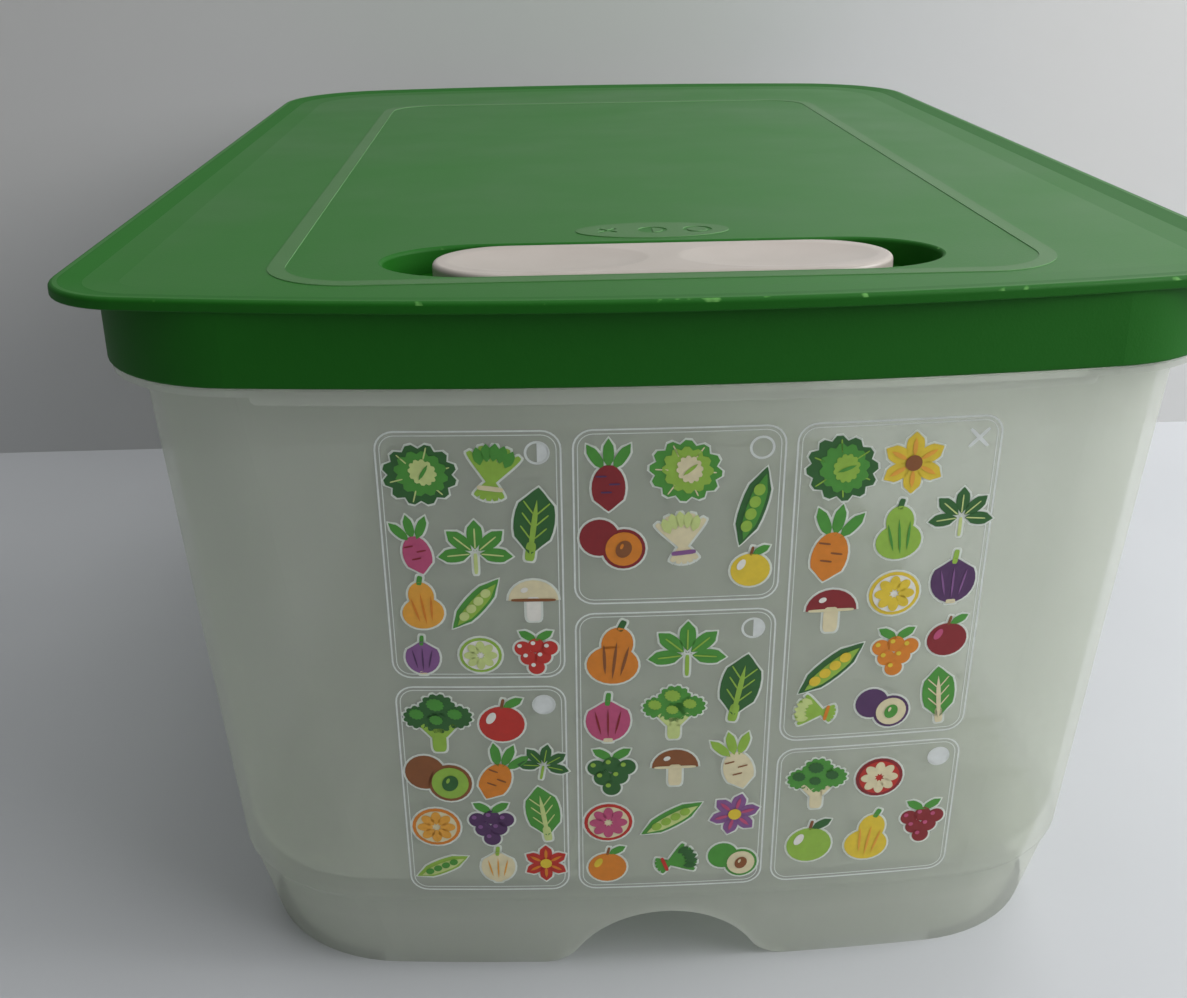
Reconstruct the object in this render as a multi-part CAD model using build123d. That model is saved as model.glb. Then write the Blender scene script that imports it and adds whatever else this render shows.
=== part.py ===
from build123d import *
import os
from math import sqrt

# A covered produce keeper for the refrigerator: a drafted tub on a foot ring, a lift-off lid with a
# sealing channel, and a three-position vent in the lid. Millimetres, +Z up, the front end faces -Y.
# The origin is on the table, under the middle of the lid.

# Lid
lid_width = 192.0
lid_length = 292.0
lid_top = 132.6                # height of the lid's edge, the highest point of the keeper
lid_bow_radius = 420.0         # plan radius of the bowed front and rear edges
lid_front_corner = 16.0
lid_rear_corner = 32.0
lid_least_corner = 4.0         # smallest corner of the outlines drawn inside the lid's own
flange_thickness = 1.9
flange_top_round = 0.7
flange_under_round = 0.3
panel_sink = 0.8               # the middle panel lies this far below the edge
panel_thickness = 1.6
slope_outer_inset = 1.4        # the slope down to the panel starts this far in from the edge,
slope_middle_inset = 5.0       # turns softer here
slope_inner_inset = 10.5       # and ends here
slope_middle_sink = 0.55       # how far it has gone down where it turns softer
slope_overrun = 0.8            # the slope's cutter runs this much further out, above the edge

# Skirt and sealing channel under the lid
skirt_side_inset = 5.5
skirt_end_inset = 2.0
skirt_corner = 26.0
skirt_drop = 13.6              # from the lid's edge to the foot of the skirt
skirt_thickness = 1.6
skirt_foot_round = 0.5
seal_ring_thickness = 1.3
seal_ring_drop = 8.5
fit_gap = 0.4                  # clearance between the lid and the tub
seal_gap = 0.5                 # between the seal ring and the tub's wall

# Tub wall and foot
wall_thickness = 1.8
wall_bow_radius = 570.0
mouth_half_width = 85.3
mouth_half_length = 140.7
mouth_corner = 19.0
shoulder_height = 18.1         # where the wall ends and the foot begins
shoulder_half_width = 81.4
shoulder_half_length = 131.8
shoulder_corner = 29.6
shoulder_step = 0.6            # the small step under the wall, and its height
shoulder_step_height = 1.2
shoulder_round = 1.4
foot_inset = 3.9               # how far the foot draws in from the shoulder down to the table
foot_thickness = 2.2
floor_thickness = 2.0
floor_round = 6.0

# Rim of the tub
rim_flange_thickness = 1.4
lip_thickness = 1.0
lip_inset = 0.6                # the lip stays this far inside the skirt's outer face
ledge_half_width = 64.0
ledge_height = 2.2
ledge_end_round = 1.0

# Arched air notches in the foot, front and rear
arch_width = 44.0
arch_height = 13.2
arch_flare = 8.0

# Raised grid on the tub's floor
grid_pitch = 20.0
grid_rib_width = 1.6
grid_rib_height = 2.4
grid_ribs_across = 7
grid_ribs_along = 13

# Vent pocket in the lid
pocket_from_edge = 32.0        # from the lid's front edge to the pocket's middle
pocket_length = 91.6
pocket_width = 23.2
pocket_end = 15.5              # length of each tapering end
pocket_depth = 4.4
pocket_floor = 1.6
pocket_wall = 1.4
pocket_mouth_round = 0.6
vent_length = 6.0
vent_width = 9.0
vent_offset = 11.5             # each vent's distance from the middle of the pocket
vent_travel = 7.5              # slider travel to each side of its half-open place

# Vent slider
slider_length = 75.4
slider_width = 21.8
slider_end = 12.5
slider_plate = 1.8
slider_wall = 1.2
slider_edge_round = 0.8
slider_floor_gap = 0.3
dish_length = 33.0
dish_width = 18.2
dish_depth = 1.0
dish_middle_rise = 5.0         # the dish's ellipsoid has its middle this far above the slider's top
dish_rim_round = 4.0           # eases the rim of the dish into the top
dish_offset = 18.9
air_notch_width = 8.0
air_notch_height = 1.2
leg_offset = 28.0
leg_length = 4.0
leg_width = 6.0
leg_gap = 0.3
barb_overhang = 0.6
barb_height = 1.2

# Vent shutter below the pocket
shutter_length = 68.0
shutter_width = 15.0
shutter_thickness = 1.4
shutter_corner = 3.0
shutter_gap = 0.3
press_gap = 0.05

# Raised marks on the lid
mark_height = 0.12
mark_root = 0.3                # how deep a mark is rooted in the panel
band_width = 2.8
band_half_width = 62.4         # to the middle of the band
band_front = 17.3              # from the lid's front edge to the middle of the band
band_rear = 247.0
band_corner = 13.0
emblem_from_edge = 52.7
emblem_length = 27.2
emblem_width = 12.8
mark_line = 0.8
dial_radius = 2.6
dial_spacing = 8.0

# Heights that follow from the sizes above
panel_top = lid_top - panel_sink
panel_under = panel_top - panel_thickness
flange_under = lid_top - flange_thickness
skirt_foot = lid_top - skirt_drop
rim_top = flange_under - fit_gap
lip_top = skirt_foot - fit_gap
floor_under = shoulder_height - floor_thickness
pocket_y = pocket_from_edge - lid_length / 2
pocket_floor_top = panel_top - pocket_depth
pocket_under = pocket_floor_top - pocket_floor
shutter_top = pocket_under - shutter_gap
shutter_under = shutter_top - shutter_thickness
slider_under = panel_top - slider_plate
through = 2.0                  # how far a cutting shape runs past what it cuts
level_band = 0.01              # edges this close to a height count as being at it


def bowed_outline(half_width, half_length, bow_radius, front_corner, rear_corner):
    """Rounded rectangle whose front and rear edges bow outwards."""
    side = half_length - bow_radius + sqrt(bow_radius**2 - half_width**2)
    front = ThreePointArc((-half_width, -side), (0, -half_length), (half_width, -side))
    right = Line((half_width, -side), (half_width, side))
    rear = ThreePointArc((half_width, side), (0, half_length), (-half_width, side))
    left = Line((-half_width, side), (-half_width, -side))
    face = make_face([front, right, rear, left])
    face = fillet(face.vertices().group_by(Axis.Y)[-1], rear_corner)
    return fillet(face.vertices().group_by(Axis.Y)[0], front_corner)


def lid_outline(inset):
    return bowed_outline(lid_width / 2 - inset, lid_length / 2 - inset, lid_bow_radius,
                         max(lid_front_corner - inset, lid_least_corner), lid_rear_corner - inset)


def skirt_outline(inset):
    return bowed_outline(lid_width / 2 - skirt_side_inset - inset, lid_length / 2 - skirt_end_inset - inset,
                         wall_bow_radius, skirt_corner - inset, skirt_corner - inset)


def wall_outline(height, inset):
    """Section through the drafted wall: its corners grow rounder from the mouth to the shoulder."""
    up = (height - shoulder_height) / (rim_top - shoulder_height)
    half_width = shoulder_half_width + (mouth_half_width - shoulder_half_width) * up - inset
    half_length = shoulder_half_length + (mouth_half_length - shoulder_half_length) * up - inset
    corner = shoulder_corner + (mouth_corner - shoulder_corner) * up - inset
    return bowed_outline(half_width, half_length, wall_bow_radius, corner, corner)


def foot_outline(height, inset):
    """Section through the foot, which draws in towards the table."""
    top = shoulder_height - shoulder_step_height
    draw = shoulder_step + (foot_inset - shoulder_step) * (top - height) / top + inset
    corner = shoulder_corner - inset
    return bowed_outline(shoulder_half_width - draw, shoulder_half_length - draw, wall_bow_radius,
                         corner, corner)


def between(lower, lower_z, upper, upper_z):
    """Straight-sided solid between two sections."""
    return loft([Pos(0, 0, lower_z) * lower, Pos(0, 0, upper_z) * upper], ruled=True)


def slab(face, low, high):
    return extrude(Pos(0, 0, low) * face, high - low)


def edges_at(solid, height):
    """The solid's level edges at one height."""
    return solid.edges().filter_by_position(Axis.Z, height - level_band, height + level_band)


def tapered_slot(length, width, end):
    """Long plan shape with half-ellipse ends."""
    middle = length / 2 - end
    tips = [Pos(side * middle, 0) * Ellipse(end, width / 2) for side in (-1, 1)]
    return Rectangle(2 * middle, width) + tips[0] + tips[1]


def dial_marks():
    """Generic marks for the three vent settings: shut, half open, open."""
    ring = Circle(dial_radius) - Circle(dial_radius - mark_line)
    bar = Rectangle(2 * dial_radius - mark_line, mark_line)
    shut = Rot(0, 0, 45) * bar + Rot(0, 0, -45) * bar
    half = ring + (Circle(dial_radius) & Pos(-dial_radius / 2, 0) * Rectangle(dial_radius, 2 * dial_radius))
    return [Pos(-dial_spacing, 0) * shut, half, Pos(dial_spacing, 0) * ring]


def arch_cutter():
    """Arched opening through the foot from front to rear, flared where it meets the table."""
    half = (arch_width - arch_flare) / 2
    crown = ThreePointArc((-half, 0), (0, arch_height), (half, 0))
    profile = make_face([crown, Line((half, 0), (-half, 0))])
    profile += Pos(0, -through / 2) * Rectangle(arch_width + 2 * arch_flare, through)
    springings = profile.vertices().sort_by_distance((0, 0))[:2]
    profile = fillet(springings, arch_flare)
    return extrude(Rot(90, 0, 0) * profile, lid_length / 2, both=True)


def make_tub():
    """One moulding: drafted wall, foot ring, floor with a raised grid, rim flange, lip and ledges."""
    step_z = shoulder_height - shoulder_step_height
    body = between(foot_outline(0, 0), 0, foot_outline(step_z, 0), step_z)
    body += between(foot_outline(step_z, 0), step_z, wall_outline(shoulder_height, 0), shoulder_height)
    body += between(wall_outline(shoulder_height, 0), shoulder_height, wall_outline(rim_top, 0), rim_top)
    body = fillet(edges_at(body, shoulder_height), shoulder_round)

    rim_low = rim_top - rim_flange_thickness
    body += slab(skirt_outline(skirt_thickness + fit_gap), rim_low, rim_top)
    lip = skirt_outline(lip_inset)
    body += slab(lip, lip_top - lip_thickness, lip_top)
    ledge_low = lip_top - ledge_height
    ledge = slab(lip, ledge_low, lip_top)
    front_view = RectangleRounded(2 * ledge_half_width, ledge_height, ledge_end_round)
    keep = extrude(Pos(0, 0, (ledge_low + lip_top) / 2) * Rot(90, 0, 0) * front_view, lid_length, both=True)
    body += ledge & keep

    top_z = rim_top + through
    cavity = between(wall_outline(shoulder_height, wall_thickness), shoulder_height,
                     wall_outline(top_z, wall_thickness), top_z)
    cavity = fillet(cavity.faces().sort_by(Axis.Z)[0].edges(), floor_round)
    body -= cavity

    recess = between(foot_outline(-through, foot_thickness), -through,
                     foot_outline(floor_under, foot_thickness), floor_under)
    body -= recess
    body -= arch_cutter()
    return body + (floor_grid() & cavity)


def floor_grid():
    """Low crossing ribs that hold produce clear of the floor."""
    grid_z = shoulder_height + grid_rib_height / 2
    along = Box(grid_rib_width, 2 * shoulder_half_length, grid_rib_height)
    across = Box(2 * shoulder_half_width, grid_rib_width, grid_rib_height)
    columns = [Pos((i - (grid_ribs_across - 1) / 2) * grid_pitch, 0, grid_z) * along
               for i in range(grid_ribs_across)]
    rows = [Pos(0, (i - (grid_ribs_along - 1) / 2) * grid_pitch, grid_z) * across
            for i in range(grid_ribs_along)]
    grid = columns[0]
    for rib in columns[1:] + rows:
        grid += rib
    return grid


def make_lid():
    """One moulding: flange, sunken panel, skirt, seal ring, vent pocket and raised marks."""
    plate = slab(lid_outline(0), flange_under, lid_top)
    plate = fillet(plate.faces().sort_by(Axis.Z)[-1].edges(), flange_top_round)
    plate = fillet(plate.faces().sort_by(Axis.Z)[0].edges(), flange_under_round)
    seal_foot = panel_under - seal_ring_drop
    seal_outer = wall_outline(seal_foot, wall_thickness + seal_gap)
    seal_inner = wall_outline(seal_foot, wall_thickness + seal_gap + seal_ring_thickness)
    plate += slab(seal_outer, panel_under, flange_under)
    middle_z = lid_top - slope_middle_sink
    slope = slope_middle_sink / (slope_middle_inset - slope_outer_inset)
    plate -= between(lid_outline(slope_inner_inset), panel_top, lid_outline(slope_middle_inset), middle_z)
    plate -= between(lid_outline(slope_middle_inset), middle_z,
                     lid_outline(slope_outer_inset - slope_overrun), lid_top + slope * slope_overrun)

    skirt = slab(skirt_outline(0), skirt_foot, flange_under)
    skirt = fillet(skirt.faces().sort_by(Axis.Z)[0].edges(), skirt_foot_round)
    skirt -= slab(skirt_outline(skirt_thickness), skirt_foot - through, flange_under)
    seal = slab(seal_outer, seal_foot, panel_under)
    seal -= slab(seal_inner, seal_foot - through, panel_under)
    lid = plate + skirt + seal

    pocket = tapered_slot(pocket_length, pocket_width, pocket_end)
    shell = tapered_slot(pocket_length + 2 * pocket_wall, pocket_width + 2 * pocket_wall,
                         pocket_end + pocket_wall)
    lid += Pos(0, pocket_y) * slab(shell, pocket_under, panel_top)
    lid -= Pos(0, pocket_y) * slab(pocket, pocket_floor_top, lid_top + through)
    mouth = edges_at(lid, panel_top).filter_by_position(Axis.X, -pocket_length / 2, pocket_length / 2)
    mouth = mouth.filter_by_position(Axis.Y, pocket_y - pocket_width / 2 - pocket_wall,
                                     pocket_y + pocket_width / 2 + pocket_wall)
    lid = fillet(mouth, pocket_mouth_round)
    slot_length = leg_length + 2 * (vent_travel + leg_gap)
    slot_width = leg_width + 2 * leg_gap
    for side in (-1, 1):
        vent = Pos(side * vent_offset, pocket_y) * Rectangle(vent_length, vent_width)
        guide = Pos(side * leg_offset, pocket_y) * Rectangle(slot_length, slot_width)
        lid -= slab(vent, pocket_under - through, panel_top)
        lid -= slab(guide, pocket_under - through, panel_top)

    for mark in raised_marks():
        lid += slab(mark, panel_top - mark_root, panel_top + mark_height)
    return lid


def raised_marks():
    """The flat frame round the panel, and the oval behind the slider with the vent settings sunk in it."""
    front = band_front - lid_length / 2
    rear = band_rear - lid_length / 2
    middle = Pos(0, (front + rear) / 2)
    half = band_width / 2
    length = rear - front
    outer = RectangleRounded(2 * (band_half_width + half), length + band_width, band_corner + half)
    inner = RectangleRounded(2 * (band_half_width - half), length - band_width, band_corner - half)
    marks = [middle * (outer - inner)]
    emblem = Pos(0, emblem_from_edge - lid_length / 2)
    oval = Ellipse(emblem_length / 2, emblem_width / 2)
    for dial in dial_marks():
        oval -= dial
    return marks + [emblem * oval]


def make_slider():
    """Shell with two finger dishes, and two barbed legs that reach down through the lid."""
    outer = tapered_slot(slider_length, slider_width, slider_end)
    inner = tapered_slot(slider_length - 2 * slider_wall, slider_width - 2 * slider_wall,
                         slider_end - slider_wall)
    body = slab(outer, pocket_floor_top + slider_floor_gap, panel_top)
    body = fillet(body.faces().sort_by(Axis.Z)[-1].edges(), slider_edge_round)
    body -= slab(inner, pocket_floor_top - through, slider_under)
    dish_height = dish_middle_rise + dish_depth
    rim = sqrt(1 - (dish_middle_rise / dish_height) ** 2)
    dish = scale(Sphere(1.0), by=(dish_length / 2 / rim, dish_width / 2 / rim, dish_height))
    for side in (-1, 1):
        body -= Pos(side * dish_offset, 0, panel_top + dish_middle_rise) * dish
    rims = edges_at(body, panel_top).sort_by(SortBy.LENGTH)[-2:]
    body = fillet(rims, dish_rim_round)
    for side in (-1, 1):
        notch_z = pocket_floor_top + slider_floor_gap + air_notch_height / 2
        notch = Box(4 * slider_wall, air_notch_width, air_notch_height)
        body -= Pos(side * slider_length / 2, 0, notch_z) * notch
        leg = Pos(side * leg_offset, 0) * Rectangle(leg_length, leg_width)
        barb = Pos(side * leg_offset, 0) * Rectangle(leg_length + 2 * barb_overhang, leg_width)
        body += slab(leg, shutter_under, slider_under)
        body += slab(barb, shutter_under - barb_height, shutter_under)
    return Pos(0, pocket_y) * body


def make_shutter():
    """Plate under the pocket whose windows open neither vent, one vent or both."""
    plate = RectangleRounded(shutter_length, shutter_width, shutter_corner)
    windows = (vent_offset, vent_offset - vent_travel, -vent_offset - vent_travel)
    for place in windows:
        plate -= Pos(place, 0) * Rectangle(vent_length, vent_width)
    for side in (-1, 1):
        hole = Rectangle(leg_length + 2 * press_gap, leg_width + 2 * press_gap)
        plate -= Pos(side * leg_offset, 0) * hole
    return Pos(0, pocket_y) * slab(plate, shutter_under, shutter_top)


pieces = {
    "tub": make_tub(),
    "lid": make_lid(),
    "vent_slider": make_slider(),
    "vent_shutter": make_shutter(),
}

os.makedirs("parts", exist_ok=True)
for name, piece in pieces.items():
    box = piece.bounding_box()
    print(name, len(piece.solids()), "solid", round(piece.volume / 1000, 1), "cm3", box.min, box.max)
    export_step(piece, f"parts/{name}.step")
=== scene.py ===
# %% [markdown]
# # A vented produce keeper
#
# The real keeper is four plastic mouldings and one print. The tub is milky polypropylene, the lid green
# polyethylene with a fine grain, and the vent's slider and shutter off-white polypropylene. The four mouldings
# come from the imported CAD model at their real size, so this lesson never moves or reshapes them. It gives them
# their finishes, prints the chart on the tub's front wall, and sets up a table, a wall, a light and a camera.

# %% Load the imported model
import math
import bpy
from mathutils import Matrix, Vector


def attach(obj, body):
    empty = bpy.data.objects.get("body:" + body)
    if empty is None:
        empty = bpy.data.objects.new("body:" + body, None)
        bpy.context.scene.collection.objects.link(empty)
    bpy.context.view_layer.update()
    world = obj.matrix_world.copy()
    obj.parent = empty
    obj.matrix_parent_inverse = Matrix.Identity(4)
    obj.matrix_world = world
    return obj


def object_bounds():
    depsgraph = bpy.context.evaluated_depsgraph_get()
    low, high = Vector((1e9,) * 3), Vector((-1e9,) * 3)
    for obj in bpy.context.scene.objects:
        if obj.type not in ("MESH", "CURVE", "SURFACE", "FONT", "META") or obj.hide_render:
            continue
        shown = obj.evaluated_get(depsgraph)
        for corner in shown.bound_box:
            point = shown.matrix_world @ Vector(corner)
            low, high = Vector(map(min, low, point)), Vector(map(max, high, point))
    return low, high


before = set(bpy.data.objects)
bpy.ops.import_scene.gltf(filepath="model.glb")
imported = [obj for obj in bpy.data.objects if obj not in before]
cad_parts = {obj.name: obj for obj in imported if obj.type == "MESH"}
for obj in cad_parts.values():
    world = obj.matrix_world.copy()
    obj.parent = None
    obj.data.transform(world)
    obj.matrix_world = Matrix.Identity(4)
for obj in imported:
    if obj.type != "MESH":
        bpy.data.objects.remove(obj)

MM = 0.001     # one millimetre in metres
cad_bounds = [list(corner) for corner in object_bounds()]
print("CAD box in metres:", cad_bounds)

# %% [markdown]
# ## Two small helpers
#
# A colour is easiest to choose as the hex value that a picture editor shows, but a shader wants linear light, so
# one function converts it. Materials are graphs of nodes, and the second helper adds one node with its settings,
# values and links in one call, which keeps each material short enough to read.

# %% Colour and node helpers
def linear(hex_colour):
    """Turns an sRGB hex colour into linear red, green, blue and alpha."""
    levels = [int(hex_colour[i:i + 2], 16) / 255 for i in (1, 3, 5)]
    return [c / 12.92 if c <= 0.04045 else ((c + 0.055) / 1.055) ** 2.4 for c in levels] + [1.0]


def add_node(tree, kind, settings=None, inputs=None):
    """Adds a node, sets its options, and gives each input, by name or number, a value or a link."""
    node = tree.nodes.new(kind)
    for name, value in (settings or {}).items():
        setattr(node, name, value)
    for name, value in (inputs or {}).items():
        if isinstance(value, bpy.types.NodeSocket):
            tree.links.new(value, node.inputs[name])
        else:
            node.inputs[name].default_value = value
    return node


def new_material(name):
    """An empty material with an output node, and the object coordinates that its patterns follow."""
    material = bpy.data.materials.new(name)
    material.use_nodes = True
    tree = material.node_tree
    tree.nodes.clear()
    place = add_node(tree, "ShaderNodeTexCoord").outputs["Object"]
    output = add_node(tree, "ShaderNodeOutputMaterial")
    return material, tree, place, output.inputs["Surface"]


print("white is", linear("#FFFFFF"))

# %% [markdown]
# ## The camera
#
# The photograph was taken by hand from just in front of the keeper, looking down at it by about 22 degrees and a
# little to the right. A wide view from so near makes the front end look much larger than the rear, so the distance
# matters as much as the angle. The camera turns first by its small roll, then tips up from straight down, then
# turns to the right.

# %% Camera at the photograph's viewpoint
camera_place = Vector((-21.6, -338.5, 181.6)) * MM
camera_down = math.radians(22.36)
camera_right = math.radians(2.47)
camera_roll = math.radians(-0.69)
sensor_width = 36.0      # both in millimetres, as Blender expects
focal_length = 42.17

camera_data = bpy.data.cameras.new("camera")
camera_data.sensor_width = sensor_width
camera_data.lens = focal_length
camera_data.clip_start = 0.01
camera = bpy.data.objects.new("camera", camera_data)
bpy.context.collection.objects.link(camera)
turn = Matrix.Rotation(-camera_right, 4, "Z") @ Matrix.Rotation(math.pi / 2 - camera_down, 4, "X")
camera.matrix_world = Matrix.Translation(camera_place) @ turn @ Matrix.Rotation(camera_roll, 4, "Z")
bpy.context.scene.camera = camera
print("camera at", tuple(round(c, 4) for c in camera_place), "with a lens of", focal_length, "mm")

# %% [markdown]
# ## The table and the wall
#
# The keeper stands on a pale laminate table with a wall in matte paint close behind it. Both are plain planes, with
# a faint mottle so broad that it only keeps them from looking drawn. They aren't part of the object. The wall shows
# only its front and casts no shadow, so that it blocks neither a view from behind nor the lamps there.

# %% Table and wall
table_size = 6.0
wall_y = 165 * MM
wall_height = 1.2
paint_mottle_width = 250 * MM


def painted_surface(name, colour, front_only):
    """Plain paint; the back of a surface that shows only its front lets the eye and the light through."""
    material, tree, place, surface = new_material(name)
    mottle = add_node(tree, "ShaderNodeTexNoise",
                      inputs={"Vector": place, "Scale": 1 / paint_mottle_width, "Detail": 3.0})
    tint = add_node(tree, "ShaderNodeMix", {"data_type": "RGBA"},
                    {"A": linear(colour), "B": linear("#C4C6C9"), "Factor": mottle.outputs["Fac"]})
    paint = add_node(tree, "ShaderNodeBsdfPrincipled", inputs={"Base Color": tint.outputs["Result"], "Roughness": 0.6})
    if not front_only:
        tree.links.new(paint.outputs["BSDF"], surface)
        return material
    clear = add_node(tree, "ShaderNodeBsdfTransparent")
    side = add_node(tree, "ShaderNodeNewGeometry")
    both = add_node(tree, "ShaderNodeMixShader",
                    inputs={"Fac": side.outputs["Backfacing"], 1: paint.outputs["BSDF"], 2: clear.outputs["BSDF"]})
    tree.links.new(both.outputs["Shader"], surface)
    return material


bpy.ops.object.select_all(action="DESELECT")
bpy.ops.mesh.primitive_plane_add(size=table_size)
table = bpy.context.active_object
table.name = "table_top"
table.data.materials.append(painted_surface("white_laminate_table", "#A5A8AC", front_only=False))

bpy.ops.mesh.primitive_plane_add(size=1.0, location=(0, wall_y, wall_height / 2), rotation=(math.pi / 2, 0, 0))
wall = bpy.context.active_object
wall.name = "back_wall"
wall.scale = (table_size, wall_height, 1)
bpy.ops.object.transform_apply(location=True, rotation=True, scale=True)
wall.data.materials.append(painted_surface("matte_wall_paint", "#C9C7C3", front_only=True))
wall.visible_shadow = False
print("the wall stands", round((wall_y - cad_bounds[1][1]) / MM), "mm behind the lid")

# %% [markdown]
# ## The light
#
# A window to the right lights the keeper in the photograph: the lid shines more to the right, the tub is bright
# along its right side, and its soft shadow falls to the left. A softbox to the right does the same. A large one
# overhead lights the lid and the table, a third stands behind and makes the tub's walls glow, and a fourth lights
# the wall. The world is dim and even, so that the skirt under the lid's edge stays dark.

# %% Softboxes and fill
def softbox(name, place, aim, size, power):
    """A square area light at place, turned towards aim: metres and watts."""
    light = bpy.data.lights.new(name, "AREA")
    light.shape = "SQUARE"
    light.size = size
    light.energy = power
    lamp = bpy.data.objects.new(name, light)
    bpy.context.collection.objects.link(lamp)
    lamp.location = place
    lamp.rotation_euler = (Vector(aim) - Vector(place)).to_track_quat("-Z", "Y").to_euler()
    return lamp


softbox("window_softbox", (0.44, -0.34, 0.42), (0.0, -0.05, 0.06), 0.5, 2.3)
softbox("ceiling_softbox", (-0.05, 0.0, 1.7), (0.0, 0.0, 0.0), 1.6, 10.4)
softbox("rear_softbox", (0.5, 0.7, 0.55), (0.0, 0.0, 0.08), 0.5, 1.6)
softbox("wall_softbox", (0.75, -0.15, 0.55), (0.35, 0.165, 0.25), 0.4, 4.2)

room_level = 0.2
world = bpy.data.worlds.new("even_room_light")
bpy.context.scene.world = world
world.use_nodes = True
background = world.node_tree.nodes["Background"]
background.inputs["Color"].default_value = linear("#E6E9EC")
background.inputs["Strength"].default_value = room_level
bpy.context.scene.view_settings.view_transform = "Standard"

# %% [markdown]
# ## The tub: milky polypropylene
#
# Polypropylene without pigment scatters light inside the wall, so the tub is neither clear nor white. The eye
# sees a cool grey haze, a satin shine from the polished mould, and dim shapes of what lies behind. Three
# shaders make that: a glossy-topped body for the wall's own haze, a translucent one for the light that comes
# through scattered, and plain see-through. The haze is cloudier in some places than in others, by some 30 mm, and
# faint upright flow lines 4 mm apart show how the melt filled the mould. The rim is polished most, and the thicker
# foot ring is a little milkier than the wall.

# %% Material of the tub
noise_low, noise_high = 0.3, 0.7             # most of a noise pattern lies between these
cloud_width = 30 * MM
ripple_width = 2.5 * MM
flow_size = Vector((4 * MM, 4 * MM, 90 * MM))
foot_middle, floor_height = 12 * MM, 20 * MM
foot_clear, wall_clear = 0.46, 0.58          # the share of light that goes straight through
scatter_least, scatter_most = 0.47, 0.53     # the share of the rest that comes through scattered
rim_low, polish_run = 114 * MM, 2 * MM
wall_roughness, rim_roughness = 0.26, 0.14


def milky_polypropylene():
    """Injection-moulded natural polypropylene with a satin face."""
    material, tree, place, surface = new_material("milky_polypropylene_moulded")
    cloud = add_node(tree, "ShaderNodeTexNoise", inputs={"Vector": place, "Scale": 1 / cloud_width, "Detail": 4.0})
    haze = add_node(tree, "ShaderNodeMix", {"data_type": "RGBA"},
                    {"A": linear("#E4E6DE"), "B": linear("#EFF0EA"), "Factor": cloud.outputs["Fac"]})
    glow = add_node(tree, "ShaderNodeMix", {"data_type": "RGBA"},
                    {"A": linear("#F2F4EE"), "B": linear("#FAFBF7"), "Factor": cloud.outputs["Fac"]})
    ripple = add_node(tree, "ShaderNodeTexNoise", inputs={"Vector": place, "Scale": 1 / ripple_width, "Detail": 2.0})
    relief = add_node(tree, "ShaderNodeBump", inputs={"Height": ripple.outputs["Fac"], "Strength": 0.25,
                                                      "Distance": 0.03 * MM})
    height = add_node(tree, "ShaderNodeSeparateXYZ", inputs={"Vector": place}).outputs["Z"]
    polish = add_node(tree, "ShaderNodeMapRange",
                      inputs={"Value": height, "From Min": rim_low, "From Max": rim_low + polish_run,
                              "To Min": wall_roughness, "To Max": rim_roughness})
    body = add_node(tree, "ShaderNodeBsdfPrincipled",
                    inputs={"Base Color": haze.outputs["Result"], "Roughness": polish.outputs["Result"],
                            "IOR": 1.49, "Normal": relief.outputs["Normal"]})
    scattered = add_node(tree, "ShaderNodeBsdfTranslucent",
                         inputs={"Color": glow.outputs["Result"], "Normal": relief.outputs["Normal"]})
    clear = add_node(tree, "ShaderNodeBsdfTransparent", inputs={"Color": linear("#F8FAF6")})
    flow_place = add_node(tree, "ShaderNodeVectorMath", {"operation": "DIVIDE"}, {0: place, 1: flow_size})
    flow = add_node(tree, "ShaderNodeTexNoise",
                    inputs={"Vector": flow_place.outputs["Vector"], "Scale": 1.0, "Detail": 2.0})
    scatter = add_node(tree, "ShaderNodeMapRange",
                       inputs={"Value": flow.outputs["Fac"], "From Min": noise_low, "From Max": noise_high,
                               "To Min": scatter_least, "To Max": scatter_most})
    milky = add_node(tree, "ShaderNodeMixShader", inputs={"Fac": scatter.outputs["Result"], 1: body.outputs["BSDF"],
                                                          2: scattered.outputs["BSDF"]})
    see_through = add_node(tree, "ShaderNodeMapRange",
                           inputs={"Value": height, "From Min": foot_middle, "From Max": floor_height,
                                   "To Min": foot_clear, "To Max": wall_clear})
    whole = add_node(tree, "ShaderNodeMixShader", inputs={"Fac": see_through.outputs["Result"],
                                                          1: milky.outputs["Shader"], 2: clear.outputs["BSDF"]})
    tree.links.new(whole.outputs["Shader"], surface)
    return material


def dress(node, material):
    """Gives a CAD node its finish by filling its material slots."""
    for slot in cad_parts[node].material_slots:
        slot.material = material
    print(node, "is finished as", material.name)


dress("tub", milky_polypropylene())

# %% [markdown]
# ## The lid: grained green polyethylene
#
# The lid is softer than the tub, a low-density polyethylene with a fine spark-eroded grain that keeps it matte.
# The grain is about 0.4 mm wide. At a low angle it still catches the pale wall and the window, and that veils the
# green with grey, a little unevenly. Hands and shelves rub the flat top most. The slope round it and the sides are
# rubbed less, so they keep a rougher grain, and the material finds them by their tilt. Their deeper green is painted
# shade: it stands in for the weaker grey veil that these tilted faces catch. The band round the panel and the oval
# stand 0.12 mm above it. Their tops are painted a paler, greyer green, a painted sheen, and their upright sides paler
# still, painted light that lifts the shade on them. Their height and the part of the lid where they lie are known,
# which is how the material finds them. Knocks leave small pale scuffs along the rounded edges.

# %% Material of the lid
mark_height, mark_height_reach = 131.87 * MM, 0.06 * MM
marked_part_middle = Vector((0, -12.8 * MM, 0))
marked_part_half = Vector((66 * MM, 117.8 * MM, 1))
grain_width, tone_width, scuff_width = 0.4 * MM, 45 * MM, 3 * MM
level_facing, tilted_facing = 0.9998, 0.9960       # how much a face looks up: 1 is level, 0 is a side
edge_facing, edge_facing_reach = 0.6, 0.36
scuff_start, scuff_full = 0.66, 0.74
rubbed_roughness, handled_roughness, tilted_roughness = 0.36, 0.45, 0.6


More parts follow.
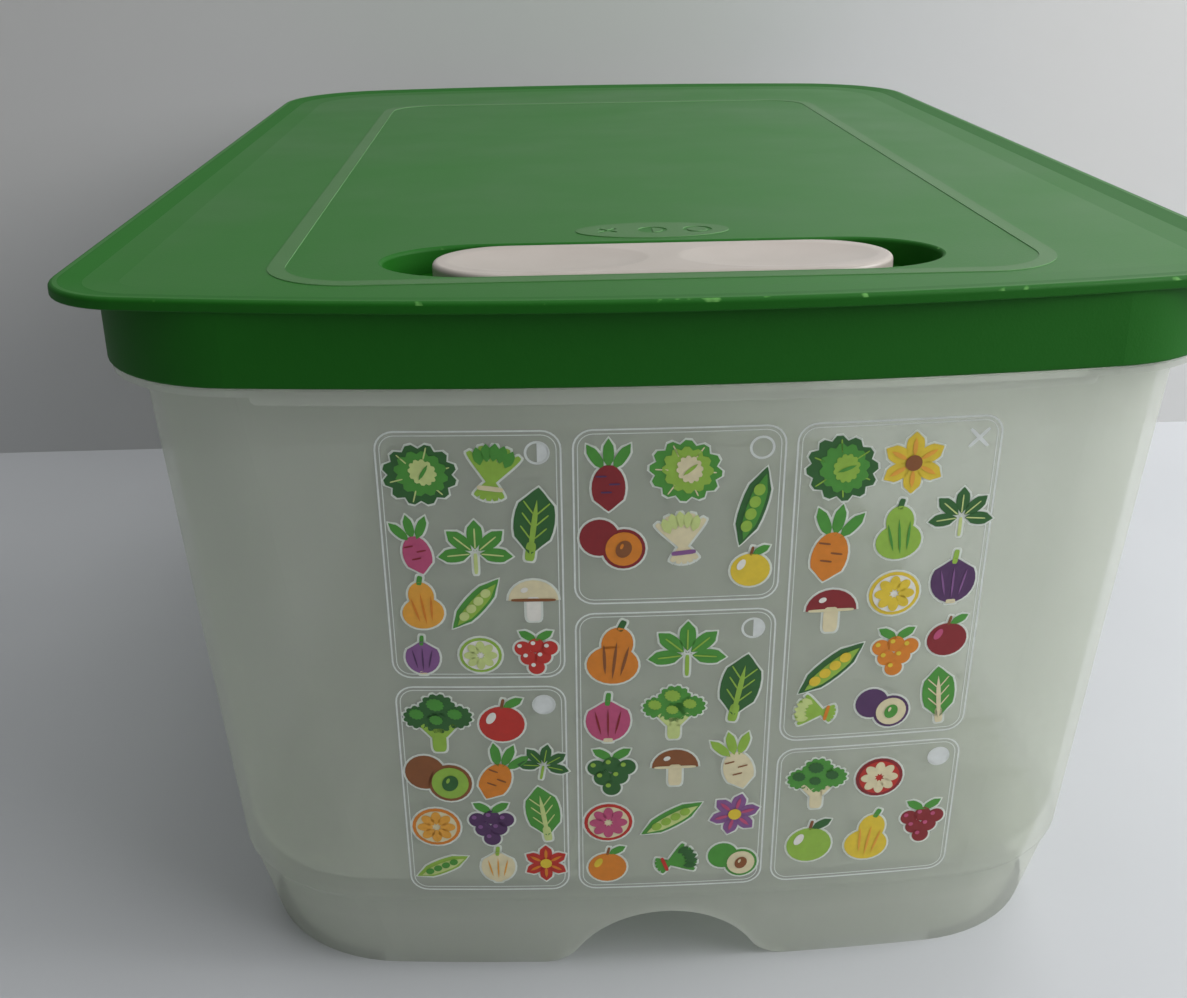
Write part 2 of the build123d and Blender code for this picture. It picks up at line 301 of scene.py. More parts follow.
def grained_polyethylene():
    """Injection-moulded green polyethylene with a fine matte grain."""
    material, tree, place, surface = new_material("grained_polyethylene_moulded")
    tone = add_node(tree, "ShaderNodeTexNoise", inputs={"Vector": place, "Scale": 1 / tone_width, "Detail": 3.0})
    green = add_node(tree, "ShaderNodeMix", {"data_type": "RGBA"},
                     {"A": linear("#145C08"), "B": linear("#18670F"), "Factor": tone.outputs["Fac"]})
    across = add_node(tree, "ShaderNodeMapping", {"vector_type": "TEXTURE"},
                      {"Vector": place, "Location": marked_part_middle, "Scale": marked_part_half})
    part_of_half = add_node(tree, "ShaderNodeVectorMath", {"operation": "ABSOLUTE"}, {0: across.outputs["Vector"]})
    reach = add_node(tree, "ShaderNodeSeparateXYZ", inputs={"Vector": part_of_half.outputs["Vector"]})
    furthest = add_node(tree, "ShaderNodeMath", {"operation": "MAXIMUM"},
                        {0: reach.outputs["X"], 1: reach.outputs["Y"]})
    inside = add_node(tree, "ShaderNodeMath", {"operation": "LESS_THAN"}, {0: furthest.outputs["Value"], 1: 1.0})
    height = add_node(tree, "ShaderNodeSeparateXYZ", inputs={"Vector": place}).outputs["Z"]
    at_height = add_node(tree, "ShaderNodeMath", {"operation": "COMPARE"},
                         {0: height, 1: mark_height, 2: mark_height_reach})
    mark = add_node(tree, "ShaderNodeMath", {"operation": "MULTIPLY"},
                    {0: inside.outputs["Value"], 1: at_height.outputs["Value"]})
    normal = add_node(tree, "ShaderNodeTexCoord").outputs["Normal"]
    facing_up = add_node(tree, "ShaderNodeSeparateXYZ", inputs={"Vector": normal}).outputs["Z"]
    tilt = add_node(tree, "ShaderNodeMapRange",
                    inputs={"Value": facing_up, "From Min": level_facing, "From Max": tilted_facing})
    # Painted shade: the tilted faces, the slope and the sides, get a deeper green for the weaker veil they catch.
    tilt_painted_shade = add_node(tree, "ShaderNodeMix", {"data_type": "RGBA"},
                    {"A": green.outputs["Result"], "B": linear("#0E5C06"), "Factor": tilt.outputs["Result"]})
    # Painted sheen and light: the raised marks are a paler green on top, and paler still on their upright sides to
    # lift the shade there.
    mark_painted_sheen_and_light = add_node(tree, "ShaderNodeMix", {"data_type": "RGBA"},
                    {"A": linear("#7FA87A"), "B": linear("#3C6A36"), "Factor": facing_up})
    # The marks' painted sheen and light go over the painted shade of the tilted faces.
    painted_shade_and_marks = add_node(tree, "ShaderNodeMix", {"data_type": "RGBA"},
                      {"A": tilt_painted_shade.outputs["Result"], "B": mark_painted_sheen_and_light.outputs["Result"], "Factor": mark.outputs["Value"]})
    speck = add_node(tree, "ShaderNodeTexNoise", inputs={"Vector": place, "Scale": 1 / scuff_width, "Detail": 2.0})
    scuff = add_node(tree, "ShaderNodeMapRange",
                     inputs={"Value": speck.outputs["Fac"], "From Min": scuff_start, "From Max": scuff_full})
    edge = add_node(tree, "ShaderNodeMath", {"operation": "COMPARE"},
                    {0: facing_up, 1: edge_facing, 2: edge_facing_reach})
    scuffed_edge = add_node(tree, "ShaderNodeMath", {"operation": "MULTIPLY"},
                            {0: scuff.outputs["Result"], 1: edge.outputs["Value"]})
    colour = add_node(tree, "ShaderNodeMix", {"data_type": "RGBA"},
                      {"A": painted_shade_and_marks.outputs["Result"], "B": linear("#5F9C4C"),
                       "Factor": scuffed_edge.outputs["Value"]})
    sheen = add_node(tree, "ShaderNodeMapRange",
                     inputs={"Value": tone.outputs["Fac"], "From Min": noise_low, "From Max": noise_high,
                             "To Min": rubbed_roughness, "To Max": handled_roughness})
    finish = add_node(tree, "ShaderNodeMix", {"data_type": "FLOAT"},
                      {"A": sheen.outputs["Result"], "B": tilted_roughness, "Factor": tilt.outputs["Result"]})
    grain = add_node(tree, "ShaderNodeTexNoise", inputs={"Vector": place, "Scale": 1 / grain_width, "Detail": 2.0})
    relief = add_node(tree, "ShaderNodeBump", inputs={"Height": grain.outputs["Fac"], "Strength": 0.5,
                                                      "Distance": 0.04 * MM})
    plastic = add_node(tree, "ShaderNodeBsdfPrincipled",
                       inputs={"Base Color": colour.outputs["Result"], "Roughness": finish.outputs["Result"],
                               "IOR": 1.51, "Specular IOR Level": 0.22, "Normal": relief.outputs["Normal"]})
    tree.links.new(plastic.outputs["BSDF"], surface)
    return material


dress("lid", grained_polyethylene())

# %% [markdown]
# ## The vent slider and its shutter: off-white polypropylene
#
# Both are small polypropylene mouldings, pigmented a warm off-white. The mould was smooth, so they shine more than
# the lid, with the faint waves of a polished surface some 6 mm wide, and thumbs leave the finish a little uneven.

# %% Material of the slider and the shutter
touch_width, wave_width = 9 * MM, 6 * MM
touched_roughness, clean_roughness = 0.28, 0.4


def smooth_polypropylene():
    """Injection-moulded off-white polypropylene from a smooth mould."""
    material, tree, place, surface = new_material("off_white_polypropylene_moulded")
    touch = add_node(tree, "ShaderNodeTexNoise", inputs={"Vector": place, "Scale": 1 / touch_width, "Detail": 3.0})
    white = add_node(tree, "ShaderNodeMix", {"data_type": "RGBA"},
                     {"A": linear("#A69D95"), "B": linear("#B5ADA6"), "Factor": touch.outputs["Fac"]})
    rough = add_node(tree, "ShaderNodeMapRange", inputs={"Value": touch.outputs["Fac"], "To Min": touched_roughness,
                                                         "To Max": clean_roughness})
    wave = add_node(tree, "ShaderNodeTexNoise", inputs={"Vector": place, "Scale": 1 / wave_width, "Detail": 1.0})
    relief = add_node(tree, "ShaderNodeBump", inputs={"Height": wave.outputs["Fac"], "Strength": 0.3,
                                                      "Distance": 0.05 * MM})
    plastic = add_node(tree, "ShaderNodeBsdfPrincipled",
                       inputs={"Base Color": white.outputs["Result"], "Roughness": rough.outputs["Result"],
                               "IOR": 1.49, "Normal": relief.outputs["Normal"]})
    tree.links.new(plastic.outputs["BSDF"], surface)
    return material


slider_plastic = smooth_polypropylene()
dress("vent_slider", slider_plastic)
dress("vent_shutter", slider_plastic)

# %% [markdown]
# ## The printed chart: shapes to print with
#
# The front wall carries a screen-printed chart of produce, grouped by how far the vent should be open. A screen
# print is a set of flat shapes, each in one ink, so it is modelled as just that: paper-thin shapes that lie on the
# wall. Seven basic shapes are enough. Each is modelled once, one unit across, upright and facing the front, from a
# circle or a plane that is shaped in edit mode.

# %% Seven basic shapes
shapes = {}
pinch_steps = ((0.30, 0.40, 0.72), (0.40, 0.46, 0.52), (0.46, 0.49, 0.28))     # from, to, and width left there


def start_shape(name, corners=24):
    """A filled circle one unit across, in edit mode and selected all over."""
    bpy.ops.object.select_all(action="DESELECT")
    bpy.ops.mesh.primitive_circle_add(vertices=corners, radius=0.5, fill_type="NGON", rotation=(math.pi / 2, 0, 0))
    shapes[name] = bpy.context.active_object
    shapes[name].name = name
    bpy.ops.object.transform_apply(location=False, rotation=True, scale=False)
    bpy.ops.object.mode_set(mode="EDIT")


def select_points(shape, wanted):
    """Selects the points whose place passes a test."""
    bpy.ops.mesh.select_all(action="DESELECT")
    bpy.ops.object.mode_set(mode="OBJECT")
    for point in shape.data.vertices:
        point.select = wanted(point.co)
    bpy.ops.object.mode_set(mode="EDIT")


def pinch(name, tops):
    """Draws the circle in towards a tip, in three steps, at the top or at both ends."""
    for low, high, width in pinch_steps:
        for way in tops:
            select_points(shapes[name], lambda co: low < way * co.z < high)
            bpy.ops.transform.resize(value=(width, 1, 1), center_override=(0, 0, 0))


bpy.context.tool_settings.mesh_select_mode = (True, False, False)
start_shape("disc")
bpy.ops.object.mode_set(mode="OBJECT")

start_shape("leaf")
pinch("leaf", (1, -1))
bpy.ops.object.mode_set(mode="OBJECT")

start_shape("drop")
pinch("drop", (1,))
bpy.ops.object.mode_set(mode="OBJECT")

start_shape("half")
bpy.ops.mesh.bisect(plane_co=(0, 0, 0), plane_no=(0, 0, 1), clear_inner=True)
bpy.ops.object.mode_set(mode="OBJECT")

start_shape("ruffle", corners=36)
select_points(shapes["ruffle"], lambda co: round(math.degrees(math.atan2(co.z, co.x)) / 10) % 3 == 0)
bpy.ops.transform.resize(value=(0.86, 1, 0.86), center_override=(0, 0, 0))
bpy.ops.object.mode_set(mode="OBJECT")

start_shape("ring")
bpy.ops.mesh.inset(thickness=0.1)
bpy.ops.mesh.delete(type="FACE")
bpy.ops.object.mode_set(mode="OBJECT")

start_shape("rod", corners=4)
bpy.ops.transform.rotate(value=math.pi / 4, orient_axis="Y", center_override=(0, 0, 0))
bpy.ops.transform.resize(value=(math.sqrt(2), 1, math.sqrt(2)), center_override=(0, 0, 0))
bpy.ops.mesh.bevel(offset=0.24, segments=3, affect="VERTICES")
bpy.ops.object.mode_set(mode="OBJECT")
print({name: len(shape.data.vertices) for name, shape in shapes.items()}, "points")

# %% [markdown]
# ## The printed chart: laying ink
#
# Laying ink means copying a basic shape, stretching it to its size in millimetres, turning it, and giving it its
# colour. The colour goes into a colour attribute, so that one ink material can print every shape. The first ink
# down is a pale halo a little larger than each picture, which keeps the colours bright on the grey tub.

# %% Stamps and pictures
chart_plane_y = cad_bounds[0][1]     # the flat chart starts in front of the wall, and is wrapped onto it later
halo_ink = "#E4EAE0"
halo_reach = 0.38                    # millimetres past each picture
layers = {}


def stamp(shape, ink, x, z, width, height, turn, layer):
    """Lays one copy of a shape: middle and size in millimetres, turn in degrees clockwise."""
    mesh = shapes[shape].data.copy()
    middle = Matrix.Translation((x * MM, chart_plane_y, z * MM))
    size = Matrix.Diagonal((width * MM, 1, height * MM, 1))
    mesh.transform(middle @ Matrix.Rotation(math.radians(turn), 4, "Y") @ size)
    colour = mesh.color_attributes.new("ink", "FLOAT_COLOR", "CORNER")
    colour.data.foreach_set("color", linear(ink) * len(colour.data))
    copy = bpy.data.objects.new("print", mesh)
    bpy.context.collection.objects.link(copy)
    layers.setdefault(layer, []).append(copy)


def around(angle, distance):
    """The point at a distance from the middle, at an angle clockwise from straight up."""
    return distance * math.sin(math.radians(angle)), distance * math.cos(math.radians(angle))


def picture(inks_in_order, x, z, size, turn=0):
    """Prints a picture one unit across at its size; each group of parts is one ink layer above the last."""
    for layer, parts in enumerate(inks_in_order, 1):
        for shape, ink, part_x, part_z, width, height, part_turn in parts:
            angle = math.radians(turn)
            px = x + size * (part_x * math.cos(angle) + part_z * math.sin(angle))
            pz = z + size * (part_z * math.cos(angle) - part_x * math.sin(angle))
            if layer == 1:
                halo_width, halo_height = size * width + 2 * halo_reach, size * height + 2 * halo_reach
                stamp(shape, halo_ink, px, pz, halo_width, halo_height, turn + part_turn, 0)
            stamp(shape, ink, px, pz, size * width, size * height, turn + part_turn, layer)


print("halo reaches", halo_reach, "mm past each picture")

# %% [markdown]
# ## The printed chart: the pictures
#
# Each kind of produce is a short list of parts, one unit across: shape, ink, middle, size and turn. They are
# simple kitchen-garden pictures, such as a cut fruit, a pod, a bulb or a bunch tied with a string, and the same
# drawing in other inks makes another plant.

# %% Kinds of produce
green, dark_green, lime, pale_lime = "#4C9A35", "#2C662A", "#98C245", "#CFDF8E"
red, dark_red, orange, amber, yellow = "#C62D20", "#8C1C22", "#E2861F", "#EFAA3A", "#E9CB35"
purple, violet, pink, brown, cream, white = "#54305F", "#8A5A93", "#C4507A", "#8D5326", "#E8DDB4", "#F2F0E6"


def wheel(rind, pith, flesh):
    """A fruit cut across, with its segments."""
    segments = [("drop", flesh, *around(a, 0.23), 0.21, 0.33, a + 180) for a in range(0, 360, 45)]
    return [[("disc", rind, 0, 0, 1, 0.96, 0)], [("disc", pith, 0, 0, 0.86, 0.82, 0)], segments]


def round_fruit(skin, shine, leaf):
    """A whole fruit with its stalk and a leaf."""
    base = [("disc", skin, 0, -0.08, 0.86, 0.8, 0), ("rod", brown, 0.02, 0.38, 0.06, 0.22, 12),
            ("leaf", leaf, 0.22, 0.4, 0.18, 0.42, 62)]
    return [base, [("disc", shine, -0.2, 0.06, 0.16, 0.28, 28)]]


def cut_fruit(skin, flesh, stone):
    """A whole fruit behind a half that shows its stone."""
    base = [("disc", skin, -0.2, 0.1, 0.6, 0.62, 0), ("disc", skin, 0.17, -0.1, 0.66, 0.68, 0)]
    return [base, [("disc", flesh, 0.17, -0.1, 0.56, 0.58, 0)], [("disc", stone, 0.17, -0.1, 0.24, 0.3, 20)],
            [("disc", flesh, 0.14, -0.05, 0.05, 0.1, 20)]]


def taproot(skin, line, leaf):
    """A root that tapers to a point under its tuft."""
    tuft = [("leaf", leaf, *around(a, 0.34), 0.15, 0.44, a) for a in (-32, 0, 32)]
    lines = [("rod", line, x, z, 0.15, 0.025, 0) for x, z in ((-0.1, 0.0), (0.08, -0.12), (-0.03, -0.24))]
    return [[("drop", skin, 0, -0.18, 0.46, 0.7, 180)] + tuft, lines]


def pod(skin, inside, seed):
    """An open pod with a row of seeds."""
    seeds = [("disc", seed, *around(0, along), 0.14, 0.16, 0) for along in (-0.27, -0.1, 0.07, 0.24)]
    return [[("leaf", skin, 0, 0, 0.32, 1.1, 0)], [("leaf", inside, 0.02, 0, 0.2, 0.92, 0)], seeds]


def bunch(stalk, tip, tie):
    """Five stalks tied with a string."""
    stalks = [("rod", stalk, *around(a, 0.1), 0.1, 0.8, a * 0.8) for a in (-50, -25, 0, 25, 50)]
    tips = [("leaf", tip, 0.1 * i, 0.4 - 0.02 * i * i, 0.13, 0.26, 9 * i) for i in (-2, -1, 0, 1, 2)]
    return [stalks, tips + [("rod", tie, 0, -0.12, 0.34, 0.07, 0)]]


def leafy_head(outer, middle, heart):
    """A round head of curled leaves around a pale heart."""
    ribs = [("rod", heart, *around(a, 0.33), 0.02, 0.18, a) for a in range(15, 360, 60)]
    return [[("ruffle", outer, 0, 0, 1, 0.9, 0)], [("ruffle", middle, 0.02, 0.02, 0.74, 0.66, 25)] + ribs,
            [("ruffle", heart, 0.04, 0.04, 0.42, 0.36, 50)], [("leaf", middle, 0.05, 0.04, 0.05, 0.26, 30)]]


def spray(leaf, vein):
    """A spray of five leaves on one stem."""
    leaves = [("leaf", leaf, around(a, 0.32)[0], around(a, 0.32)[1] - 0.12, 0.24, 0.5, a)
              for a in (-96, -48, 0, 48, 96)]
    veins = [("rod", vein, around(a, 0.26)[0], around(a, 0.26)[1] - 0.12, 0.025, 0.34, a)
             for a in (-96, -48, 0, 48, 96)]
    return [leaves + [("rod", vein, 0, -0.3, 0.06, 0.36, 0)], veins]


def long_leaf(leaf, rib):
    """A tall leaf with a thick pale rib."""
    side_ribs = [("rod", rib, 0.09 * way, z, 0.02, 0.22, 40 * way) for z in (-0.1, 0.08, 0.24) for way in (-1, 1)]
    return [[("leaf", leaf, 0, 0.06, 0.5, 0.92, 0), ("rod", rib, 0, -0.36, 0.12, 0.26, 0)],
            [("leaf", rib, 0, -0.04, 0.07, 0.8, 0)] + side_ribs]


def cap(skin, gill, stem):
    """A mushroom's cap on its stem."""
    return [[("half", skin, 0, 0.02, 0.9, 0.84, 0), ("rod", stem, 0, -0.16, 0.26, 0.5, 0)],
            [("rod", gill, 0, 0.03, 0.8, 0.06, 0), ("disc", white, -0.16, 0.24, 0.14, 0.1, -25)]]


def bulb(skin, stripe, shoot):
    """A bulb with fine stripes, its neck and its dry roots."""
    base = [("drop", skin, 0, -0.06, 0.76, 0.84, 0), ("rod", shoot, 0, 0.38, 0.09, 0.26, 6),
            ("rod", cream, 0, -0.46, 0.16, 0.08, 0)]
    return [base, [("leaf", stripe, 0.17 * i, -0.1, 0.035, 0.6 - 0.1 * abs(i), 12 * i) for i in (-1, 0, 1)]]


def crown(leaf, light, stalk):
    """A bushy crown on a thick stalk."""
    clumps = [(-0.27, 0.08, 0.44), (0.27, 0.08, 0.44), (0, 0.24, 0.52), (0, -0.02, 0.4)]
    base = [("rod", stalk, 0, -0.32, 0.2, 0.4, 0), ("rod", stalk, -0.14, -0.16, 0.09, 0.28, -40),
            ("rod", stalk, 0.14, -0.16, 0.09, 0.28, 40)]
    return [base + [("ruffle", leaf, x, z, s, s * 0.9, 0) for x, z, s in clumps],
            [("ruffle", light, x - 0.03, z + 0.05, s * 0.5, s * 0.4, 20) for x, z, s in clumps]]


def gourd(skin, rib, stalk):
    """A gourd with a narrow shoulder and shaded ribs."""
    base = [("disc", skin, 0, -0.18, 0.72, 0.62, 0), ("disc", skin, 0.03, 0.16, 0.44, 0.54, 0),
            ("rod", stalk, 0.06, 0.46, 0.09, 0.18, 18)]
    return [base, [("leaf", rib, 0.14 * i + 0.02, -0.1, 0.04, 0.62 - 0.12 * abs(i), 8 * i) for i in (-1, 0, 1)]]


def berries(skin, shine, leaf):
    """A cluster of small fruit under two leaves."""
    spots = [(-0.26, 0.1), (0, 0.16), (0.26, 0.1), (-0.15, -0.12), (0.13, -0.1), (0, -0.34)]
    base = [("leaf", leaf, -0.16, 0.38, 0.17, 0.4, -58), ("leaf", leaf, 0.16, 0.38, 0.17, 0.4, 58)]
    return [base + [("disc", skin, x, z, 0.32, 0.32, 0) for x, z in spots],
            [("disc", shine, x - 0.06, z + 0.06, 0.09, 0.09, 0) for x, z in spots]]


def blossom(petal, light, heart):
    """An open flower head."""
    petals = [("leaf", petal, *around(a, 0.28), 0.28, 0.46, a) for a in range(0, 360, 60)]
    return [petals, [("leaf", light, *around(a, 0.26), 0.07, 0.3, a) for a in range(0, 360, 60)],
            [("disc", heart, 0, 0, 0.26, 0.26, 0)]]


print("drawings:", len([wheel, round_fruit, cut_fruit, taproot, pod, bunch, leafy_head, spray, long_leaf, cap,
                        bulb, crown, gourd, berries, blossom]))

# %% [markdown]
# ## The printed chart: composing it
#
# The chart has six panels in three staggered columns, each with a vent mark in its corner: a disc, a half disc, a
# ring or a cross. Every panel has a double outline. A panel starts as a plane whose corners are bevelled in edit
# mode. Insetting its face and deleting what is left inside leaves a line.

# %% Outlines, marks and pictures
line_ink = "#E3E8E5"
panel_corner = 3.2
outer_line = {"inset": 0, "thickness": 0.3}
inner_line = {"inset": 0.75, "thickness": 0.16}
mark_size, mark_fill, mark_stroke = 4, 3.6, 0.6
cross_length = 4.4
panels = {     # left, bottom, right and top in millimetres
    "left_upper": (-46.6, 66.0, -17.8, 111.0),
    "left_lower": (-46.6, 20.0, -17.8, 64.4),
    "middle_upper": (-16.2, 80.0, 17.0, 111.0),
    "middle_lower": (-16.2, 20.0, 17.0, 78.4),
    "right_upper": (18.6, 51.2, 51.4, 111.0),
    "right_lower": (18.6, 20.0, 51.4, 49.6),
}


def panel_line(left, bottom, right, top, inset, thickness):
    """One line round a panel, drawn in from its edge by the inset."""
    bpy.ops.object.select_all(action="DESELECT")
    middle = ((left + right) / 2 * MM, chart_plane_y, (bottom + top) / 2 * MM)
    bpy.ops.mesh.primitive_plane_add(size=1, location=middle, rotation=(math.pi / 2, 0, 0))
    line = bpy.context.active_object
    line.scale = ((right - left - 2 * inset) * MM, (top - bottom - 2 * inset) * MM, 1)
    bpy.ops.object.transform_apply(location=True, rotation=True, scale=True)
    bpy.ops.object.mode_set(mode="EDIT")
    bpy.ops.mesh.bevel(offset=(panel_corner - inset) * MM, segments=6, affect="VERTICES")
    bpy.ops.mesh.select_all(action="SELECT")
    bpy.ops.mesh.inset(thickness=thickness * MM)
    bpy.ops.mesh.delete(type="FACE")
    bpy.ops.object.mode_set(mode="OBJECT")
    colour = line.data.color_attributes.new("ink", "FLOAT_COLOR", "CORNER")
    colour.data.foreach_set("color", linear(line_ink) * len(colour.data))
    layers.setdefault(0, []).append(line)


def vent_mark(kind, x, z):
    """The vent setting that suits a panel: a cross, or a ring that is empty, half full or full."""
    if kind == "cross":
        for turn in (-45, 45):
            stamp("rod", line_ink, x, z, mark_stroke, cross_length, turn, 1)
    else:
        stamp("ring", line_ink, x, z, mark_size, mark_size, 0, 1)
    if kind == "half":
        stamp("half", line_ink, x, z, mark_fill, mark_fill, 90, 1)
    if kind == "disc":
        stamp("disc", line_ink, x, z, mark_fill, mark_fill, 0, 1)


for left, bottom, right, top in panels.values():
    panel_line(left, bottom, right, top, **outer_line)
    panel_line(left, bottom, right, top, **inner_line)
for kind, x, z in (("half", -21.6, 107.2), ("disc", -21.6, 60.6), ("ring", 13.2, 107.2), ("half", 13.2, 74.6),
                   ("cross", 47.6, 107.2), ("disc", 47.6, 45.8)):
    vent_mark(kind, x, z)

# Each line is a drawing, the place of its middle and its size in millimetres, and its turn in degrees.
produce = [
    (leafy_head(dark_green, green, pale_lime), -39.8, 103.6, 11.5, 0),
    (bunch(lime, green, cream), -28.8, 102.6, 12, 8),
    (taproot(pink, dark_red, green), -41.4, 91.2, 10, -12),
    (spray(green, pale_lime), -31.8, 91.0, 10.5, 0),
    (long_leaf(dark_green, lime), -22.4, 94.6, 13, 8),
    (gourd(amber, orange, green), -41.0, 80.4, 9.5, -8),
    (pod(green, lime, pale_lime), -32.2, 80.4, 11, 40),
    (cap(cream, brown, white), -22.8, 80.8, 9, 0),
    (bulb(violet, purple, green), -41.4, 70.6, 7.5, 0),
    (wheel(lime, white, pale_lime), -31.8, 70.6, 7, 0),
    (berries(red, white, green), -22.6, 71.0, 8.5, 0),
    (crown(dark_green, green, lime), -39.6, 57.2, 12, 0),
    (round_fruit(red, white, green), -28.8, 57.4, 9, 0),
    (cut_fruit(brown, lime, dark_green), -40.2, 45.4, 11.5, 0),
    (taproot(orange, brown, green), -29.6, 46.4, 11.5, 24),
    (spray(dark_green, lime), -21.8, 48.8, 8, 10),
    (wheel(orange, cream, amber), -41.2, 34.6, 8.5, 0),
    (berries(purple, violet, green), -31.4, 35.2, 9.5, 0),
    (long_leaf(green, pale_lime), -22.2, 37.2, 12, -8),
    (pod(lime, pale_lime, green), -40.6, 25.6, 9.5, 64),
    (bulb(cream, amber, lime), -30.6, 26.0, 8, 0),
    (blossom(red, orange, yellow), -22.0, 26.2, 8, 0),
    (taproot(dark_red, purple, green), -10.6, 103.0, 11.5, 0),
    (leafy_head(green, lime, cream), 1.4, 103.6, 11.5, 20),
    (pod(dark_green, green, lime), 12.2, 97.0, 13, 16),
    (cut_fruit(dark_red, orange, brown), -10.0, 91.2, 10.5, 0),
    (bunch(cream, pale_lime, violet), 1.2, 90.6, 11.5, -6),
    (round_fruit(yellow, white, green), 12.2, 86.2, 7.5, 0),
    (gourd(orange, brown, dark_green), -9.8, 70.4, 12, 6),
    (spray(green, lime), 2.4, 71.2, 11.5, 0),
    (bulb(pink, dark_red, green), -10.8, 57.6, 10, 0),
    (crown(green, lime, pale_lime), 0.4, 58.6, 11, 0),
    (long_leaf(dark_green, lime), 11.4, 62.6, 13.5, 10),
    (berries(dark_green, lime, green), -10.2, 46.2, 10, 0),
    (cap(brown, cream, cream), 0.8, 46.6, 9, 0),
    (taproot(cream, brown, lime), 11.4, 47.6, 11.5, -14),
    (wheel(red, cream, pink), -10.8, 35.2, 8.5, 0),
    (pod(green, pale_lime, lime), 0.4, 35.6, 11.5, 58),
    (blossom(violet, pink, yellow), 11.6, 36.0, 9, 15),
    (round_fruit(orange, yellow, green), -11.0, 25.6, 8, 0),
    (bunch(green, dark_green, red), 0.4, 25.6, 9.5, 70),
    (cut_fruit(green, cream, brown), 11.6, 25.8, 9, 0),
    (leafy_head(dark_green, green, lime), 26.0, 103.0, 12, 40),
    (blossom(yellow, amber, brown), 37.4, 103.4, 10.5, 0),
    (taproot(orange, brown, green), 25.4, 89.6, 13, 10),
    (gourd(lime, green, dark_green), 36.0, 91.4, 10.5, -6),
    (spray(dark_green, pale_lime), 46.2, 94.4, 9.5, 0),
    (cap(dark_red, cream, cream), 26.0, 77.0, 9.5, 0),
    (wheel(yellow, white, yellow), 36.4, 79.8, 8.5, 0),
    (bulb(purple, violet, lime), 46.2, 82.2, 10, 0),
    (pod(dark_green, lime, yellow), 26.8, 65.8, 13, 48),
    (berries(orange, yellow, green), 37.6, 68.4, 9.5, 0),
    (round_fruit(dark_red, pink, green), 46.4, 70.8, 8, 0),
    (bunch(lime, pale_lime, orange), 25.6, 57.0, 9, -78),
    (cut_fruit(purple, cream, green), 36.4, 57.2, 9.5, 0),
    (long_leaf(green, cream), 46.2, 58.8, 11.5, -6),
    (crown(green, dark_green, cream), 26.0, 42.0, 11, 0),
    (wheel(dark_red, red, cream), 37.2, 42.2, 8.5, 0),
    (round_fruit(lime, white, dark_green), 25.4, 28.8, 9.5, 0),
    (gourd(yellow, amber, green), 36.2, 29.2, 11, 8),
    (berries(dark_red, pink, green), 46.0, 31.6, 9.5, 0),
]
for drawing, x, z, size, turn in produce:
    picture(drawing, x, z, size, turn)
for shape in shapes.values():
    bpy.data.objects.remove(shape)
print(len(produce), "pictures from", sum(len(stack) for stack in layers.values()), "shapes of ink")

# %% [markdown]
# ## The printed chart: wrapping it onto the wall
#
# The front wall leans back and bows outwards, so a flat chart would sink into it. The long outlines are first cut
# every 6 mm, so that they can bend. Then each layer of ink is joined and projected straight back onto the tub with a
# Shrinkwrap modifier. Real ink is a hundredth of a millimetre thick. The first layer here lies 0.1 mm off the wall
# and each further one 0.06 mm above the last, just enough to keep the flat shapes from cutting into each other.

# %% Wrap the ink
first_gap = 0.1 * MM
layer_gap = 0.06 * MM
bend_step = 6.0
bends_each_side = 8


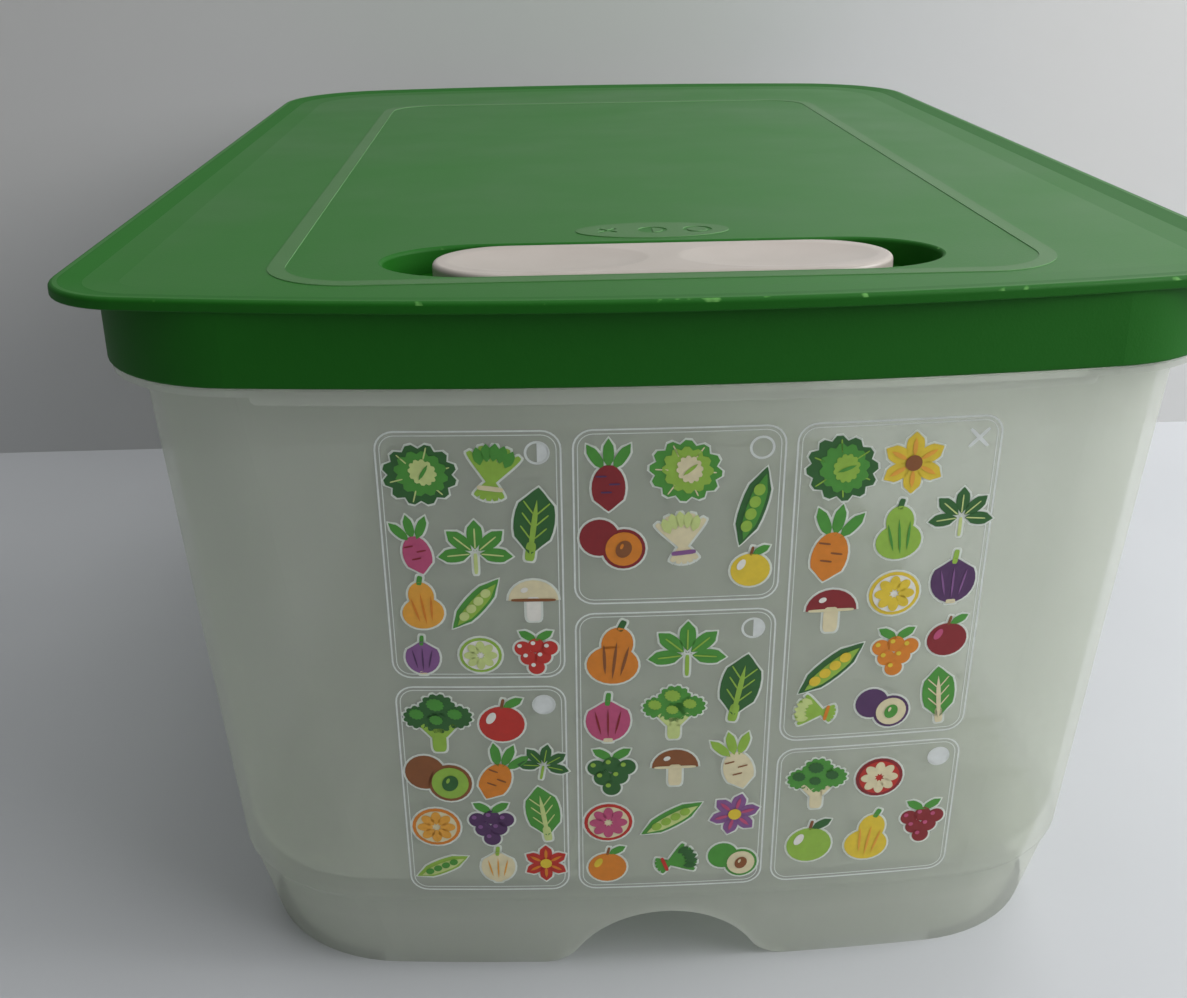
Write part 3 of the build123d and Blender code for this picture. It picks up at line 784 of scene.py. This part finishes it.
def wrap_layer(layer, sheets):
    """Joins one layer of ink and lays it on the tub's front wall."""
    bpy.ops.object.select_all(action="DESELECT")
    for sheet in sheets:
        sheet.select_set(True)
    bpy.context.view_layer.objects.active = sheets[0]
    bpy.ops.object.join()
    joined = bpy.context.active_object
    if layer == 0:
        bpy.ops.object.mode_set(mode="EDIT")
        for step in range(-bends_each_side, bends_each_side + 1):
            bpy.ops.mesh.select_all(action="SELECT")
            bpy.ops.mesh.bisect(plane_co=(step * bend_step * MM, 0, 0), plane_no=(1, 0, 0))
        bpy.ops.object.mode_set(mode="OBJECT")
    bpy.ops.object.modifier_add(type="SHRINKWRAP")
    wrap = joined.modifiers[-1]
    wrap.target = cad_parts["tub"]
    wrap.wrap_method = "PROJECT"
    wrap.use_project_y = True
    wrap.offset = first_gap + layer * layer_gap
    bpy.ops.object.modifier_apply(modifier=wrap.name)
    return joined


wrapped = [wrap_layer(layer, layers[layer]) for layer in sorted(layers)]
bpy.ops.object.select_all(action="DESELECT")
for sheet in wrapped:
    sheet.select_set(True)
bpy.context.view_layer.objects.active = wrapped[0]
bpy.ops.object.join()
chart = bpy.context.active_object
chart.name = "printed_chart"
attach(chart, "tub")
print("the chart has", len(chart.data.polygons), "faces, and reaches from z",
      round(min(v.co.z for v in chart.data.vertices) / MM, 1), "to",
      round(max(v.co.z for v in chart.data.vertices) / MM, 1), "mm")

# %% [markdown]
# ## The ink
#
# Screen ink for plastic dries to a thin, opaque, slightly satin film. Its pigment is even, apart from the fine
# mottle that the mesh of the screen leaves, about 0.3 mm apart. Drawn at that size it would be too fine to see, so
# it's drawn at 1.5 mm, as the faint cloudiness that the eye gets from it.

# %% Material of the ink
ink_mottle_width = 1.5 * MM
ink_darkest, ink_palest = 0.82, 1.1


def screen_printed_ink():
    """Opaque satin ink whose colour comes from the chart's own colour attribute."""
    material, tree, place, surface = new_material("screen_printed_ink")
    ink = add_node(tree, "ShaderNodeVertexColor", {"layer_name": "ink"})
    mottle = add_node(tree, "ShaderNodeTexNoise",
                      inputs={"Vector": place, "Scale": 1 / ink_mottle_width, "Detail": 3.0})
    shade = add_node(tree, "ShaderNodeMapRange",
                     inputs={"Value": mottle.outputs["Fac"], "To Min": ink_darkest, "To Max": ink_palest})
    colour = add_node(tree, "ShaderNodeVectorMath", {"operation": "SCALE"},
                      {0: ink.outputs["Color"], "Scale": shade.outputs["Result"]})
    film = add_node(tree, "ShaderNodeBsdfPrincipled",
                    inputs={"Base Color": colour.outputs["Vector"], "Roughness": 0.38, "IOR": 1.5})
    tree.links.new(film.outputs["BSDF"], surface)
    return material


chart.data.materials.clear()
chart.data.materials.append(screen_printed_ink())
print("the ink reads the colour attribute", chart.data.color_attributes[0].name)
